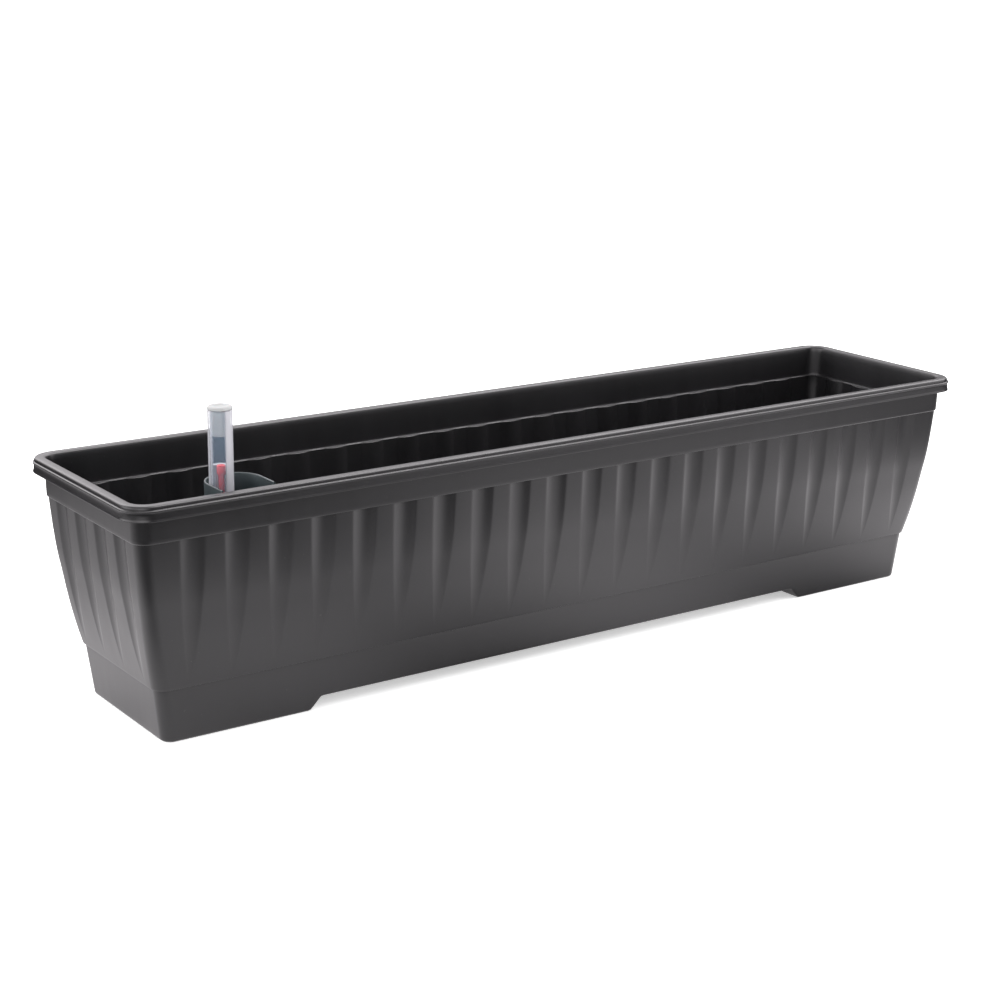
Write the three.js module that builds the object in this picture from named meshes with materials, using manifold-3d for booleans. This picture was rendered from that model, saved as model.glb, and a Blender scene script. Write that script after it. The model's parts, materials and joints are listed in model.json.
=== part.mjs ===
import * as THREE from 'three';
import Module from 'manifold-3d';
import { mergeVertices } from 'three/addons/utils/BufferGeometryUtils.js';

// Self watering planter trough. Millimetres, +Z up, length along X, width along Y,
// origin at the bottom centre under the two end feet.

// ---- driving dimensions ----------------------------------------------------
const LIP_HALF_LENGTH = 400;      // outer face of the rim lip
const LIP_HALF_WIDTH = 91.85;
const RIM_TOP = 186.24;
const LIP_BOTTOM = 175.03;
const LIP_SKIN = 2.3;             // thickness of the hanging lip skirt and of its roof
const RIM_INNER_OFFSET = 8.76;    // top face, inner edge, measured in from the lip face
const BAND_BOTTOM = 156.35;
const BAND_OFFSET_TOP = 8.46;
const BAND_OFFSET_BOTTOM = 8.83;
const STEP_Z = 41.62;             // shadow step between fluted body and plinth
const STEP_IN = 1.6;
const PLINTH_END_OFFSET = 33.33;  // at the ground
const PLINTH_SIDE_OFFSET = 27.8;
const WALL = 2.2;
const LEDGE_Z = 159;
const FLOOR = 2.5;                // floor thickness in the end feet
const ARCH_Z = 9.95;              // clear height under the raised middle of the floor
const ARCH_X_LOW = 247;
const ARCH_X_HIGH = 238;
const MID_FLOOR = 12.4;           // top of the raised middle floor
const LIP_R = 20, BAND_R = 12, BODY_R = 10.5, PLINTH_R = 9;

const FLUTE_PITCH = 34.9;
const FLUTES_LONG = 21;
const FLUTE_WIDTH = 19.2;
const FLUTE_DEPTH = 2.4;
const FLUTE_TIP_Z = 46.5;
const END_FLUTES = [-49.8, -16.6, 16.6, 49.8];
// width of a flute as a share of its full width, by share of its length from the top
const FLUTE_TAPER = [[0, 1], [0.25, 0.95], [0.53, 0.77], [0.74, 0.54], [0.9, 0.3], [1, 0.06]];
// inward offset of the end walls by height
const BODY_OFFSET = [[41.62, 26.4], [56, 23.16], [70.3, 20.4], [84.6, 18.06], [99, 16.04],
  [113.3, 13.9], [127.7, 12.37], [142, 11.18], [156.35, 10.11]];
const SIDE_OFFSET_GAIN = 2.39;    // the long walls stand this much further out at the step

const PLATE_Z = 50;               // underside of the false floor
const PLATE_T = 2.2;
const PLATE_END_X = 370.6;
const PLATE_HALF_Y = 65.0;
const PLATE_JOINT_X = 0.6;

const CHANNEL_X = -297.3, CHANNEL_Y = -47;
const CHANNEL_R = 22;
const CHANNEL_T = 1.5;
const CHANNEL_TOP = 183;
const CHANNEL_LEG_LEFT_Y = -64.6, CHANNEL_LEG_RIGHT_Y = -62.6;
const CHANNEL_LEG_LEAN = 5;       // the free edges follow the leaning wall towards the top

const GAUGE_X = -308.4, GAUGE_Y = -48;
const TUBE_R = 9, TUBE_BORE = 7.3;
const TUBE_BOTTOM = 5.6, TUBE_TOP = 236.4;
const CAP_TOP = 239.2, CAP_PLUG_BOTTOM = 217.6;
const SLEEVE_BOTTOM = 80, SLEEVE_TOP = 195.6, SLEEVE_R = 6.95, SLEEVE_BORE = 3.9;
const PIN_TOP = 196.1, PIN_HEAD_R = 3.3, PIN_STEM_R = 2.2;
const FLOAT_BOTTOM = 22, FLOAT_TOP = 56.5, FLOAT_R = 6.7;

const PLUG_X = [-150, 150];
const PLUG_HOLE_R = 6.4;

// ---- solid modelling helpers -------------------------------------------------
const wasm = await Module();
wasm.setup();

function solid(geometry) {
  let g = geometry.clone();
  g.deleteAttribute('normal');
  g.deleteAttribute('uv');
  g = mergeVertices(g, 1e-4);
  const mesh = new wasm.Mesh({
    numProp: 3,
    vertProperties: new Float32Array(g.attributes.position.array),
    triVerts: new Uint32Array(g.index.array),
  });
  mesh.merge();
  return new wasm.Manifold(mesh);
}

function toGeometry(manifold) {
  const m = manifold.getMesh();
  const p = new Float32Array(m.numVert * 3);
  for (let i = 0; i < m.numVert; i++) {
    for (let k = 0; k < 3; k++) p[3 * i + k] = m.vertProperties[m.numProp * i + k];
  }
  const g = new THREE.BufferGeometry();
  g.setAttribute('position', new THREE.BufferAttribute(p, 3));
  g.setIndex(new THREE.BufferAttribute(new Uint32Array(m.triVerts), 1));
  g.computeVertexNormals();
  return g;
}

// rings: arrays of [x, y, z] with equal counts, counter-clockwise seen from above, rising in z
function loft(rings) {
  const n = rings[0].length;
  const pos = [];
  const idx = [];
  for (const r of rings) for (const p of r) pos.push(p[0], p[1], p[2]);
  for (let i = 0; i + 1 < rings.length; i++) {
    for (let j = 0; j < n; j++) {
      const a = i * n + j, b = i * n + (j + 1) % n, c = a + n, d = b + n;
      idx.push(a, b, d, a, d, c);
    }
  }
  const flat = (r) => THREE.ShapeUtils.triangulateShape(r.map((p) => new THREE.Vector2(p[0], p[1])), []);
  for (const t of flat(rings[0])) idx.push(t[0], t[2], t[1]);
  const o = (rings.length - 1) * n;
  for (const t of flat(rings[rings.length - 1])) idx.push(o + t[0], o + t[1], o + t[2]);
  const g = new THREE.BufferGeometry();
  g.setAttribute('position', new THREE.BufferAttribute(new Float32Array(pos), 3));
  g.setIndex(idx);
  return solid(g);
}

function roundRect(a, b, r, z, seg = 5) {
  const out = [];
  const c = [[a - r, -b + r, -90], [a - r, b - r, 0], [-a + r, b - r, 90], [-a + r, -b + r, 180]];
  for (const [cx, cy, t0] of c) {
    for (let i = 0; i <= seg; i++) {
      const t = (t0 + 90 * i / seg) * Math.PI / 180;
      out.push([cx + r * Math.cos(t), cy + r * Math.sin(t), z]);
    }
  }
  return out;
}

const ringAt = (offEnd, offSide, r, z, seg) =>
  roundRect(LIP_HALF_LENGTH - offEnd, LIP_HALF_WIDTH - offSide, r, z, seg);

function lerpTable(table, x) {
  if (x <= table[0][0]) return table[0][1];
  for (let i = 1; i < table.length; i++) {
    if (x <= table[i][0]) {
      const [x0, y0] = table[i - 1], [x1, y1] = table[i];
      return y0 + (y1 - y0) * (x - x0) / (x1 - x0);
    }
  }
  return table[table.length - 1][1];
}

const bodyEnd = (z) => lerpTable(BODY_OFFSET, z);
const bodySide = (z) => bodyEnd(z) - SIDE_OFFSET_GAIN * Math.max(0, 1 - (z - STEP_Z) / (BAND_BOTTOM - STEP_Z));

// Fluted outline of the body at one height; grow widens every flute, used for the inside skin.
function flutedRing(z, shell, grow, zOut = z) {
  const a = LIP_HALF_LENGTH - bodyEnd(z) - shell;
  const b = LIP_HALF_WIDTH - bodySide(z) - shell;
  const r = Math.max(BODY_R - shell, 6);
  const t = Math.min(Math.max((BAND_BOTTOM - z) / (BAND_BOTTOM - FLUTE_TIP_Z), 0), 1);
  const share = z < FLUTE_TIP_Z ? 0.06 : lerpTable(FLUTE_TAPER, t);
  const half = (FLUTE_WIDTH * share + grow * Math.min(1, 3 * share)) / 2;
  const depth = z < FLUTE_TIP_Z ? 0 : FLUTE_DEPTH * share * share;
  const cut = [[-1, 0], [-0.6, 0.66], [0, 1], [0.6, 0.66], [1, 0]];
  const out = [];
  const side = (positions, place) => {
    for (const c of positions) for (const [u, d] of cut) out.push(place(c + u * half, d * depth));
  };
  const corner = (cx, cy, t0) => {
    for (let i = 0; i <= 4; i++) {
      const w = (t0 + 90 * i / 4) * Math.PI / 180;
      out.push([cx + r * Math.cos(w), cy + r * Math.sin(w), zOut]);
    }
  };
  const longs = Array.from({ length: FLUTES_LONG }, (_, k) => (k - (FLUTES_LONG - 1) / 2) * FLUTE_PITCH);
  side(longs, (s, d) => [s, -b + d, zOut]);
  corner(a - r, -b + r, -90);
  side(END_FLUTES, (s, d) => [a - d, s, zOut]);
  corner(a - r, b - r, 0);
  side(longs, (s, d) => [-s, b - d, zOut]);
  corner(-a + r, b - r, 90);
  side(END_FLUTES, (s, d) => [-a + d, -s, zOut]);
  corner(-a + r, -b + r, 180);
  return out;
}

const box = (x0, x1, y0, y1, z0, z1) => {
  const g = new THREE.BoxGeometry(x1 - x0, y1 - y0, z1 - z0);
  g.translate((x0 + x1) / 2, (y0 + y1) / 2, (z0 + z1) / 2);
  return solid(g);
};

// turned body about a vertical axis; profile [radius, z] closed on itself or on the axis,
// listed with the outside rising in z
function turned(profile, x, y, seg) {
  const g = new THREE.LatheGeometry(profile.map(([r, z]) => new THREE.Vector2(r, z)), seg);
  g.rotateX(Math.PI / 2);
  g.translate(x, y, 0);
  const m = solid(g);
  return m.volume() < 0 ? solid(flip(g)) : m;
}

function flip(g) {
  const f = g.clone();
  const i = f.index.array;
  for (let k = 0; k < i.length; k += 3) { const t = i[k + 1]; i[k + 1] = i[k + 2]; i[k + 2] = t; }
  return f;
}

const rod = (r, z0, z1, x, y, seg = 16) => turned([[0, z0], [r, z0], [r, z1], [0, z1]], x, y, seg);

// block of trapezoid section along X: half length xl at z0 and xh at z1
function wedgeBlock(xl, xh, y, z0, z1) {
  const r = (x, z) => [[-x, -y, z], [x, -y, z], [x, y, z], [-x, y, z]];
  return loft([r(xl, z0), r(xh, z1)]);
}

// ---- trough: one thin moulding ---------------------------------------------
const bodyLevels = [STEP_Z, 47.5, 58, 76, 98, 128, BAND_BOTTOM];
const bodyOuter = loft([...bodyLevels.map((z) => flutedRing(z, 0, 0)), flutedRing(BAND_BOTTOM, 0, 0, 157.6)]);
const plinthTopEnd = bodyEnd(STEP_Z) + STEP_IN;
const plinthTopSide = bodySide(STEP_Z) + STEP_IN;
const plinthOuter = loft([
  ringAt(PLINTH_END_OFFSET + 1.6, PLINTH_SIDE_OFFSET + 1.6, PLINTH_R - 1.4, 0),
  ringAt(PLINTH_END_OFFSET + 0.3, PLINTH_SIDE_OFFSET + 0.3, PLINTH_R, 1.3),
  ringAt(plinthTopEnd, plinthTopSide, PLINTH_R, STEP_Z),
  ringAt(plinthTopEnd, plinthTopSide, PLINTH_R, 43),
]);
const bandOuter = loft([
  ringAt(BAND_OFFSET_BOTTOM + 1.0, BAND_OFFSET_BOTTOM + 1.0, BAND_R - 1, BAND_BOTTOM),
  ringAt(BAND_OFFSET_BOTTOM, BAND_OFFSET_BOTTOM, BAND_R, BAND_BOTTOM + 0.9),
  ringAt(BAND_OFFSET_TOP, BAND_OFFSET_TOP, BAND_R, 185),
]);
const lipOuter = loft([
  ringAt(0.35, 0.35, LIP_R, LIP_BOTTOM),
  ringAt(0, 0, LIP_R, LIP_BOTTOM + 0.9),
  ringAt(0.7, 0.7, LIP_R - 0.5, 181.1),
  ringAt(0.05, 0.05, LIP_R, 182),
  ringAt(0.05, 0.05, LIP_R, 182.8),
  ringAt(1.0, 1.0, LIP_R - 0.6, 183.5),
  ringAt(1.15, 1.15, LIP_R - 0.6, 185.2),
  ringAt(1.9, 1.9, LIP_R - 1.2, RIM_TOP),
]);
const lipHollow = loft([
  ringAt(LIP_SKIN, LIP_SKIN, LIP_R - LIP_SKIN, LIP_BOTTOM - 2),
  ringAt(LIP_SKIN + 0.3, LIP_SKIN + 0.3, LIP_R - LIP_SKIN, RIM_TOP - 2.6),
]).subtract(loft([
  ringAt(BAND_OFFSET_BOTTOM, BAND_OFFSET_BOTTOM, BAND_R, LIP_BOTTOM - 3),
  ringAt(BAND_OFFSET_TOP, BAND_OFFSET_TOP, BAND_R, RIM_TOP),
]));
const outer = bodyOuter.add(plinthOuter).add(bandOuter).add(lipOuter).subtract(lipHollow)
  .subtract(wedgeBlock(ARCH_X_LOW, ARCH_X_HIGH, 120, -1, ARCH_Z));

const innerLevels = [STEP_Z + 2, 48.5, 60, 80, 104, 132, BAND_BOTTOM];
const cavityBody = loft([
  ...innerLevels.map((z) => flutedRing(z, WALL, 2.4)),
  flutedRing(BAND_BOTTOM, WALL, 2.4, LEDGE_Z),
]);
const cavityPlinth = loft([
  ringAt(PLINTH_END_OFFSET + WALL + 0.4, PLINTH_SIDE_OFFSET + WALL + 0.4, 7, FLOOR),
  ringAt(plinthTopEnd + WALL, plinthTopSide + WALL, 7, STEP_Z),
  ringAt(plinthTopEnd + WALL - 0.8, plinthTopSide + WALL - 0.8, 7, STEP_Z + 3.4),
]).subtract(wedgeBlock(ARCH_X_LOW + 2.4, ARCH_X_HIGH + 2.4, 120, FLOOR - 2, MID_FLOOR));
const cavityTop = loft([
  ringAt(BAND_OFFSET_BOTTOM + WALL, BAND_OFFSET_BOTTOM + WALL, BAND_R - 2, LEDGE_Z - 0.6),
  ringAt(10.75, 10.75, BAND_R - 1, 182.5),
  ringAt(10.1, 10.1, BAND_R, 184.9),
  ringAt(RIM_INNER_OFFSET, RIM_INNER_OFFSET, BAND_R + 1, RIM_TOP),
  ringAt(RIM_INNER_OFFSET, RIM_INNER_OFFSET, BAND_R + 1, RIM_TOP + 2),
]);
let trough = outer.subtract(cavityBody.add(cavityPlinth).add(cavityTop));
for (const x of PLUG_X) trough = trough.subtract(rod(PLUG_HOLE_R, ARCH_Z - 2, MID_FLOOR + 2, x, 0, 16));

// ---- false floor: two perforated halves on hollow feet -----------------------
function plate(sign) {
  const x0 = sign < 0 ? -PLATE_END_X : PLATE_JOINT_X;
  const x1 = -(sign < 0 ? -(-PLATE_JOINT_X) : -PLATE_END_X);
  const cx = (x0 + x1) / 2, a = (x1 - x0) / 2;
  const shift = (ring) => ring.map(([x, y, z]) => [x + cx, y, z]);
  let p = loft([
    shift(roundRect(a, PLATE_HALF_Y, 6, PLATE_Z, 3)),
    shift(roundRect(a, PLATE_HALF_Y, 6, PLATE_Z + 9, 3)),
  ]).subtract(loft([
    shift(roundRect(a - 1.8, PLATE_HALF_Y - 1.8, 4.4, PLATE_Z + PLATE_T, 3)),
    shift(roundRect(a - 1.6, PLATE_HALF_Y - 1.6, 4.6, PLATE_Z + 12, 3)),
  ]));
  const feet = sign < 0
    ? [[-338, 40], [-338, -40], [-262, 40], [-140, -38], [-140, 38], [-34, -38], [-34, 38]]
    : [[338, 40], [338, -40], [262, 40], [262, -40], [140, -38], [140, 38], [34, -38], [34, 38]];
  for (const [x, y] of feet) {
    const foot = Math.abs(x) > ARCH_X_LOW ? FLOOR + 0.3 : MID_FLOOR + 0.3;
    p = p.add(turned([[0, foot], [6.2, foot], [7.4, foot + 1.2], [11, PLATE_Z + 0.4], [11, PLATE_Z + 1], [0, PLATE_Z + 1]], x, y, 10));
    p = p.subtract(turned([[0, foot + 2], [5.6, foot + 2], [9.2, PLATE_Z + PLATE_T + 0.6], [0, PLATE_Z + PLATE_T + 0.6]], x, y, 10));
  }
  return p;
}
const slotX = [];
for (let k = 0; k < 13; k++) slotX.push(26 + k * 27);
function perforate(p, sign) {
  let cut = null;
  const add = (m) => { cut = cut ? cut.add(m) : m; };
  for (const s of slotX) {
    const x = sign * s;
    const nearFoot = [34, 140, 262, 338].some((f) => Math.abs(s - f) < 14.5);
    const nearChannel = sign < 0 && x < -268 && x > -328;
    for (const y of [-52, -17.4, 17.4, 52]) {
      if (nearFoot && Math.abs(y) > 20 && Math.abs(y) < 60) continue;
      if (nearChannel && y < 5) continue;
      add(box(x - 1.6, x + 1.6, y - 9, y + 9, PLATE_Z - 1, PLATE_Z + PLATE_T + 1));
    }
  }
  return p.subtract(cut);
}
const WICK_W = 24, WICK_T = 3;
const wickX = { left: [-206, -88], right: [88, 206] };
let plateLeft = perforate(plate(-1), -1);
let plateRight = perforate(plate(1), 1);
for (const x of wickX.left) plateLeft = plateLeft.subtract(box(x - 2.1, x + 2.1, -WICK_W / 2 - 0.6, WICK_W / 2 + 0.6, PLATE_Z - 1, PLATE_Z + PLATE_T + 1));
for (const x of wickX.right) plateRight = plateRight.subtract(box(x - 2.1, x + 2.1, -WICK_W / 2 - 0.6, WICK_W / 2 + 0.6, PLATE_Z - 1, PLATE_Z + PLATE_T + 1));

// opening under the filler channel, and the two peg holes of its base flange
function uOutline(r, yLeft, yRight, z, seg = 12) {
  const out = [];
  out.push([CHANNEL_X + r, yRight, z]);
  for (let i = 0; i <= seg; i++) {
    const t = Math.PI * i / seg;
    out.push([CHANNEL_X + r * Math.cos(t), CHANNEL_Y + r * Math.sin(t), z]);
  }
  out.push([CHANNEL_X - r, yLeft, z]);
  return out;
}
const uBlock = (r, yLeft, yRight, z0, z1) => loft([uOutline(r, yLeft, yRight, z0), uOutline(r, yLeft, yRight, z1)]);
const PEGS = [[CHANNEL_X - 24.2, -46], [CHANNEL_X + 24.2, -46]];
plateLeft = plateLeft.subtract(uBlock(CHANNEL_R - CHANNEL_T - 0.4, -60.4, -60.4, PLATE_Z - 1, PLATE_Z + PLATE_T + 1));
plateLeft = plateLeft.subtract(box(CHANNEL_X - 23, CHANNEL_X + 23, -67, -61, PLATE_Z + PLATE_T, PLATE_Z + 12));
for (const [x, y] of PEGS) plateLeft = plateLeft.subtract(rod(1.9, PLATE_Z - 1, PLATE_Z + PLATE_T + 1, x, y, 10));

// ---- wicks: strips of felt lying on the false floor and hanging into the water ----
function wick(x, towards) {
  const top = PLATE_Z + PLATE_T + 0.3;
  const run = 34;
  const leg = box(x - WICK_T / 2, x + WICK_T / 2, -WICK_W / 2, WICK_W / 2, MID_FLOOR + 0.5, top + WICK_T);
  const flat = towards > 0
    ? box(x - WICK_T / 2, x + run, -WICK_W / 2, WICK_W / 2, top, top + WICK_T)
    : box(x - run, x + WICK_T / 2, -WICK_W / 2, WICK_W / 2, top, top + WICK_T);
  return leg.add(flat);
}

// ---- filler channel: half round gutter standing on end, open to the front wall ----
const channelBase = PLATE_Z + PLATE_T + 0.3;
let channel = loft([
  uOutline(CHANNEL_R, CHANNEL_LEG_LEFT_Y, CHANNEL_LEG_RIGHT_Y, channelBase),
  uOutline(CHANNEL_R, CHANNEL_LEG_LEFT_Y - CHANNEL_LEG_LEAN, CHANNEL_LEG_RIGHT_Y - CHANNEL_LEG_LEAN, CHANNEL_TOP),
])
  .add(uBlock(CHANNEL_R + 5, -58.5, -58.5, channelBase, channelBase + 1.8));
for (const [x, y] of PEGS) channel = channel.add(rod(1.55, PLATE_Z - 2.6, channelBase + 1, x, y, 10));
channel = channel.subtract(uBlock(CHANNEL_R - CHANNEL_T, -80, -80, channelBase - 1, CHANNEL_TOP + 1));

// ---- water gauge ----------------------------------------------------------------
let tube = turned([[TUBE_BORE, TUBE_BOTTOM], [TUBE_R, TUBE_BOTTOM], [TUBE_R, TUBE_TOP - 0.4], [TUBE_R - 0.4, TUBE_TOP], [TUBE_BORE, TUBE_TOP], [TUBE_BORE, TUBE_BOTTOM]], GAUGE_X, GAUGE_Y, 28);
for (let i = 0; i < 2; i++) {
  const s = box(-12, 12, -1.4, 1.4, 24, 40);
  tube = tube.subtract(s.rotate([0, 0, 45 + 90 * i]).translate([GAUGE_X, GAUGE_Y, 0]));
}
const cap = turned([
  [0, CAP_TOP - 1.0], [4.6, CAP_TOP - 0.9], [6.4, CAP_TOP], [8.2, CAP_TOP], [9.1, CAP_TOP - 0.8], [9.1, TUBE_TOP + 0.3],
  [6.95, TUBE_TOP + 0.3], [6.8, CAP_PLUG_BOTTOM + 0.4], [6.5, CAP_PLUG_BOTTOM], [5.4, CAP_PLUG_BOTTOM],
  [5.4, TUBE_TOP - 1.2], [0, TUBE_TOP - 1.2],
].reverse(), GAUGE_X, GAUGE_Y, 28);
const sleeve = turned([[SLEEVE_BORE, SLEEVE_BOTTOM], [SLEEVE_R, SLEEVE_BOTTOM], [SLEEVE_R, SLEEVE_TOP - 0.5], [SLEEVE_R - 0.5, SLEEVE_TOP], [SLEEVE_BORE, SLEEVE_TOP], [SLEEVE_BORE, SLEEVE_BOTTOM]], GAUGE_X, GAUGE_Y, 24);
const pin = turned([
  [0, FLOAT_TOP - 15], [PIN_STEM_R, FLOAT_TOP - 15], [PIN_STEM_R, PIN_TOP - 7.5], [PIN_HEAD_R - 0.1, PIN_TOP - 6],
  [PIN_HEAD_R, PIN_TOP - 1.2], [PIN_HEAD_R - 0.8, PIN_TOP - 0.2], [0, PIN_TOP],
], GAUGE_X, GAUGE_Y, 20);
const float = turned([
  [0, FLOAT_BOTTOM], [FLOAT_R - 1.2, FLOAT_BOTTOM], [FLOAT_R, FLOAT_BOTTOM + 1.2], [FLOAT_R, FLOAT_TOP - 1.2],
  [FLOAT_R - 1.2, FLOAT_TOP], [PIN_STEM_R + 0.35, FLOAT_TOP], [PIN_STEM_R + 0.35, FLOAT_TOP - 15.4], [0, FLOAT_TOP - 15.4],
], GAUGE_X, GAUGE_Y, 20);
const gaugeFoot = turned([
  [2.6, FLOOR + 0.3], [8.4, FLOOR + 0.3], [9, FLOOR + 0.9], [9, TUBE_BOTTOM - 0.3], [6.95, TUBE_BOTTOM - 0.3],
  [6.8, FLOAT_BOTTOM - 0.8], [6.4, FLOAT_BOTTOM - 0.3], [5.0, FLOAT_BOTTOM - 0.3], [5.0, TUBE_BOTTOM], [2.6, TUBE_BOTTOM], [2.6, FLOOR + 0.3],
], GAUGE_X, GAUGE_Y, 24);

// ---- drain plugs ------------------------------------------------------------------
function drainPlug(x) {
  let p = turned([
    [0, ARCH_Z - 1.2], [5.4, ARCH_Z - 1.2], [6.05, ARCH_Z - 0.2], [6.05, MID_FLOOR + 2.2], [10.4, MID_FLOOR + 2.2],
    [11, MID_FLOOR + 2.8], [11, MID_FLOOR + 4], [10.2, MID_FLOOR + 4.8], [0, MID_FLOOR + 4.8],
  ], x, 0, 18);
  const grip = box(x - 1.5, x + 1.5, -6, 6, MID_FLOOR + 4, MID_FLOOR + 14)
    .subtract(turned([[0, -2.6], [3.2, -2.6], [3.2, 2.6], [0, 2.6]], 0, 0, 12).rotate([0, 90, 0]).translate([x, 0, MID_FLOOR + 9.6]));
  return p.add(grip);
}
const plugSeal = (x) => turned([
  [6.4, MID_FLOOR + 0.3], [9.6, MID_FLOOR + 0.3], [10, MID_FLOOR + 0.7], [10, MID_FLOOR + 1.5], [9.6, MID_FLOOR + 1.9],
  [6.4, MID_FLOOR + 1.9], [6.4, MID_FLOOR + 0.3],
], x, 0, 18);

// ---- materials ----------------------------------------------------------------------
const mat = (color, roughness) => new THREE.MeshStandardMaterial({ color, roughness, metalness: 0 });
const anthracite = mat(0x35363a, 0.5);
const darkInsert = mat(0x2b2c2f, 0.6);
const channelGrey = mat(0x3f4a4c, 0.45);
const frosted = mat(0xb9c3cf, 0.35);
const capWhite = mat(0xe9e9e9, 0.4);
const signalRed = mat(0xd2525c, 0.4);
const foam = mat(0xe4e2da, 0.9);
const felt = mat(0xc9c5b8, 0.95);
const rubber = mat(0x1c1c1d, 0.85);

const planter = new THREE.Group();
planter.name = 'self_watering_planter';
function put(name, manifold, material) {
  const mesh = new THREE.Mesh(toGeometry(manifold), material);
  mesh.name = name;
  planter.add(mesh);
}
put('trough', trough, anthracite);
put('false_floor_left', plateLeft, darkInsert);
put('false_floor_right', plateRight, darkInsert);
put('wick_left_outer', wick(wickX.left[0], -1), felt);
put('wick_left_inner', wick(wickX.left[1], 1), felt);
put('wick_right_inner', wick(wickX.right[0], -1), felt);
put('wick_right_outer', wick(wickX.right[1], 1), felt);
put('filler_channel', channel, channelGrey);
put('gauge_tube', tube, frosted);
put('gauge_cap', cap, capWhite);
put('gauge_sleeve', sleeve, frosted);
put('gauge_foot', gaugeFoot, capWhite);
put('indicator_pin', pin, signalRed);
put('gauge_float', float, foam);
put('drain_plug_left', drainPlug(PLUG_X[0]), rubber);
put('drain_plug_right', drainPlug(PLUG_X[1]), rubber);
put('plug_seal_left', plugSeal(PLUG_X[0]), rubber);
put('plug_seal_right', plugSeal(PLUG_X[1]), rubber);

export default planter;
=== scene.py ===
import json
import math
import random

import bmesh
import bpy
import numpy as np
from mathutils import Matrix, Vector

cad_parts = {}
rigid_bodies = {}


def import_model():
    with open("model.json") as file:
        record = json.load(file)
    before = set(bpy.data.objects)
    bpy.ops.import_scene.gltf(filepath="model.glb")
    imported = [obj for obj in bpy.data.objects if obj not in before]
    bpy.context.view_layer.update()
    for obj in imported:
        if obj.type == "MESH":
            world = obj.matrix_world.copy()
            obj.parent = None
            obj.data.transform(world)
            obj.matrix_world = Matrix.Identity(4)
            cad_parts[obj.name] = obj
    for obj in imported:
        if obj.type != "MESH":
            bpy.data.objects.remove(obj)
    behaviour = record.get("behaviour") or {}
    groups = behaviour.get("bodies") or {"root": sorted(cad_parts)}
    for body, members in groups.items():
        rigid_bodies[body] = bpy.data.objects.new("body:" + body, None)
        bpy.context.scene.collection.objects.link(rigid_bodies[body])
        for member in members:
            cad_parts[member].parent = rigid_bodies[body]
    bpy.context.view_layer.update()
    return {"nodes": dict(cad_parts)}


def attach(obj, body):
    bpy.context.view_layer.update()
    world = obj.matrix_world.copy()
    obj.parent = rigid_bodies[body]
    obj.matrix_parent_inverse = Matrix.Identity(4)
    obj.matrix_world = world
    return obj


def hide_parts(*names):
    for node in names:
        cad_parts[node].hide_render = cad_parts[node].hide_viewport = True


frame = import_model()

MM = 0.001
scene = bpy.context.scene
random.seed(7)
rng = np.random.default_rng(7)

# ------------------------------------------------------------------ sizes, mm
HALF_L, HALF_W = 400.0, 91.85
RIM_TOP, LIP_BOTTOM = 186.24, 175.03
BAND_BOTTOM, BAND_TOP_OFF, BAND_LOW_OFF = 156.35, 8.46, 8.83
STEP_Z, STEP_IN = 41.62, 1.6
PLINTH_END, PLINTH_SIDE = 33.33, 27.8
WALL, LEDGE_Z = 2.2, 159.0
ARCH_Z, ARCH_LOW, ARCH_HIGH = 9.95, 247.0, 238.0
FLOOR, MID_FLOOR = 2.5, 12.4
PLUG_X, HOLE_R = (-150.0, 150.0), 6.4
LIP_R, BAND_R, BODY_R, PLINTH_R = 20.0, 12.0, 10.5, 9.0
PITCH, N_LONG = 34.9, 21
FL_W, FL_D, TIP_Z = 19.2, 2.4, 46.5
END_FLUTES = (-49.8, -16.6, 16.6, 49.8)
BODY_OFF = [(41.62, 26.4), (56, 23.16), (70.3, 20.4), (84.6, 18.06), (99, 16.04),
            (113.3, 13.9), (127.7, 12.37), (142, 11.18), (156.35, 10.11)]
GX, GY = -308.4, -48.0
CX, CY = -297.3, -47.0
LEG_LEAN = 5.0


def smooth_table(table, x):
    """Monotone cubic through the table's points."""
    xs = np.array([t[0] for t in table], float)
    ys = np.array([t[1] for t in table], float)
    h = np.diff(xs)
    d = np.diff(ys) / h
    m = np.empty_like(ys)
    m[0], m[-1] = d[0], d[-1]
    for i in range(1, len(d)):
        m[i] = 0 if d[i - 1] * d[i] <= 0 else 2 * d[i - 1] * d[i] / (d[i - 1] + d[i])
    x = np.clip(x, xs[0], xs[-1])
    i = np.clip(np.searchsorted(xs, x) - 1, 0, len(h) - 1)
    t = (x - xs[i]) / h[i]
    return ((2 * t**3 - 3 * t**2 + 1) * ys[i] + (t**3 - 2 * t**2 + t) * h[i] * m[i]
            + (-2 * t**3 + 3 * t**2) * ys[i + 1] + (t**3 - t**2) * h[i] * m[i + 1])


def body_end(z):
    return smooth_table(BODY_OFF, z)


def body_side(z):
    return body_end(z) - 2.39 * np.clip(1 - (z - STEP_Z) / (BAND_BOTTOM - STEP_Z), 0, 1)


TAPER = [(0, 1), (0.25, 0.95), (0.53, 0.77), (0.74, 0.54), (0.9, 0.3), (1, 0.1)]


# ------------------------------------------------------------------ mesh helpers
def finish_mesh(bm, name, angle=32.0, smooth=True):
    bmesh.ops.recalc_face_normals(bm, faces=bm.faces)
    for f in bm.faces:
        f.smooth = smooth
    if smooth:
        lim = math.radians(angle)
        for e in bm.edges:
            e.smooth = len(e.link_faces) == 2 and e.calc_face_angle(0.0) < lim
    me = bpy.data.meshes.new(name)
    bm.to_mesh(me)
    bm.free()
    ob = bpy.data.objects.new(name, me)
    scene.collection.objects.link(ob)
    return ob


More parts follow.
